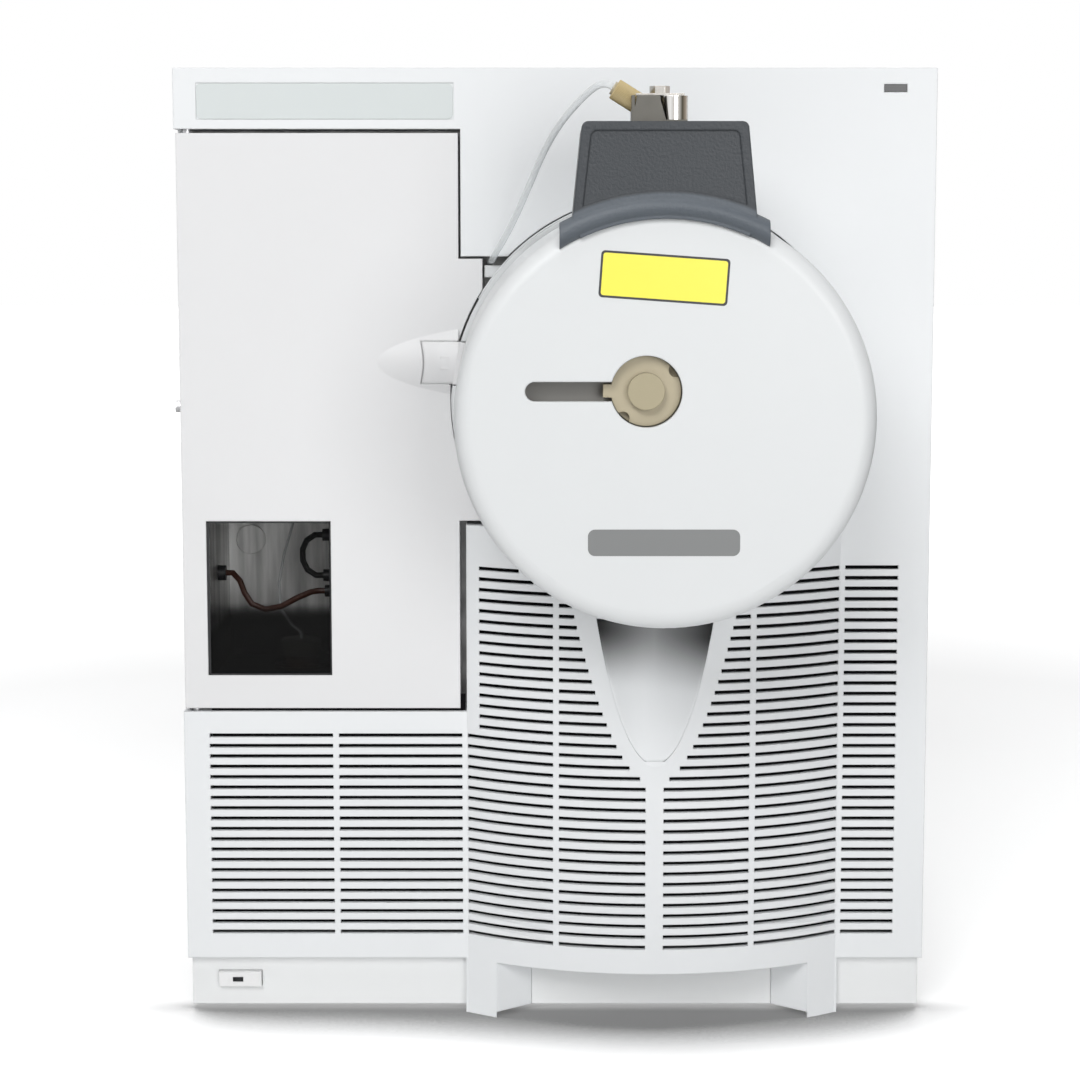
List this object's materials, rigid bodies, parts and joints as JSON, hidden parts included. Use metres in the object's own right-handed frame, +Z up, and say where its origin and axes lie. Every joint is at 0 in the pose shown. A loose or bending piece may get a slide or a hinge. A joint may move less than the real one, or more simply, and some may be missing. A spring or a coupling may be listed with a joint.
{
  "type": "mass spectrometer",
  "caption": "Benchtop quadrupole mass spectrometer with a hinged round spray source, nebulizer, calibrant door and louvred moulded front",
  "frame": {"origin": "middle of the bounding box at the bench, under the feet", "axes": "+X to the right, the front faces -Y, +Z up"},
  "size_m": [0.382, 0.865, 0.483],
  "materials": {
    "cover_white": "satin moulded plastic, fine texture",
    "door_white": "satin moulded plastic",
    "source_white": "smooth satin paint",
    "sheet_white": "powder coat",
    "rear_grey": "powder coat",
    "zinc_sheet": "zinc-plated sheet",
    "bay_metal": "brushed sheet",
    "housing_grey": "grained dark grey",
    "dark_steel": "blackened stamped sheet",
    "polished_steel": "polished",
    "steel": "turned",
    "aluminium": "milled",
    "chamber_dark": "dark anodised casting",
    "peek": "machined tan plastic",
    "black_plastic": "moulded",
    "smoked_window": "smoked clear plastic",
    "status_black": "glossy",
    "button_white": "gloss",
    "rubber": "matt",
    "clear_tube": "translucent fluoropolymer",
    "orange_tube": "translucent orange",
    "amber_glass": "amber glass",
    "ceramic": "ceramic",
    "molybdenum": "ground",
    "board_green": "circuit board",
    "brass": "turned"
  },
  "bodies": {
    "instrument": {"base_tray": "sheet_white", "rubber_feet": "rubber", "left_side_cover": "sheet_white", "right_side_cover": "sheet_white", "top_cover": "sheet_white", "rear_panel": "rear_grey", "front_cover": "cover_white", "status_lens": "status_black", "door_pins": "steel", "door_magnets": "dark_steel", "front_frame": "zinc_sheet", "bay_liner": "bay_metal", "bay_grommet": "rubber", "bay_union": "steel", "calibrant_valve": "black_plastic", "calibrant_bottle": "amber_glass", "bottle_cap": "peek", "orange_tube": "orange_tube", "black_tube": "rubber", "clear_tube": "clear_tube", "source_collar": "source_white", "hinge_bracket": "source_white", "hinge_pin": "steel", "catch_striker": "dark_steel", "tube_union": "steel", "nebulizer_tube": "clear_tube", "vacuum_manifold": "aluminium", "manifold_lid": "aluminium", "inlet_capillary": "polished_steel", "spray_shield": "polished_steel", "ion_guide": "molybdenum", "quadrupole_rods": "molybdenum", "rod_holders": "ceramic", "detector": "steel", "turbo_pump": "aluminium", "main_board": "board_green", "power_supply": "zinc_sheet", "rf_generator": "zinc_sheet", "fan_housings": "black_plastic", "mains_inlet": "black_plastic", "vacuum_port": "aluminium", "gas_inlet": "brass", "data_ports": "steel"},
    "source": {"source_cover": "source_white", "spray_chamber": "chamber_dark", "source_arm": "door_white", "needle_holder": "peek", "nebulizer_housing": "housing_grey", "nebulizer_bracket": "dark_steel", "nebulizer_body": "polished_steel", "nebulizer_nut": "polished_steel", "tube_fitting": "peek"},
    "needle_knob": {"needle_knob": "peek"},
    "door": {"door": "door_white", "door_window": "smoked_window", "door_side_screw": "steel"},
    "power_button": {"power_button": "button_white", "button_lens": "status_black"},
    "fan_rotor_left": {"fan_rotor_left": "black_plastic"},
    "fan_rotor_right": {"fan_rotor_right": "black_plastic"}
  },
  "joints": [
    {"name": "door_hinge", "type": "hinge", "parent": "instrument", "child": "door", "pos_m": [-0.183, -0.2865, 0.305], "axis": [0, 0, -1], "range_deg": [0, 120]},
    {"name": "source_hinge", "type": "hinge", "parent": "instrument", "child": "source", "pos_m": [-0.0565, -0.29, 0.337], "axis": [0, 0, -1], "range_deg": [0, 85], "deforming": ["nebulizer_tube"]},
    {"name": "needle_knob_turn", "type": "hinge", "parent": "source", "child": "needle_knob", "pos_m": [0.0422, -0.4225, 0.3308], "axis": [0, 1, 0], "range_deg": [-45, 45]},
    {"name": "power_button_press", "type": "slide", "parent": "instrument", "child": "power_button", "axis": [0, 1, 0], "range_m": [0, 0.0025], "stiffness_N_per_m": 400},
    {"name": "fan_left_spin", "type": "hinge", "parent": "instrument", "child": "fan_rotor_left", "pos_m": [-0.084, 0.3875, 0.33], "axis": [0, 1, 0], "continuous": true},
    {"name": "fan_right_spin", "type": "hinge", "parent": "instrument", "child": "fan_rotor_right", "pos_m": [0.086, 0.3875, 0.33], "axis": [0, 1, 0], "continuous": true}
  ]
}
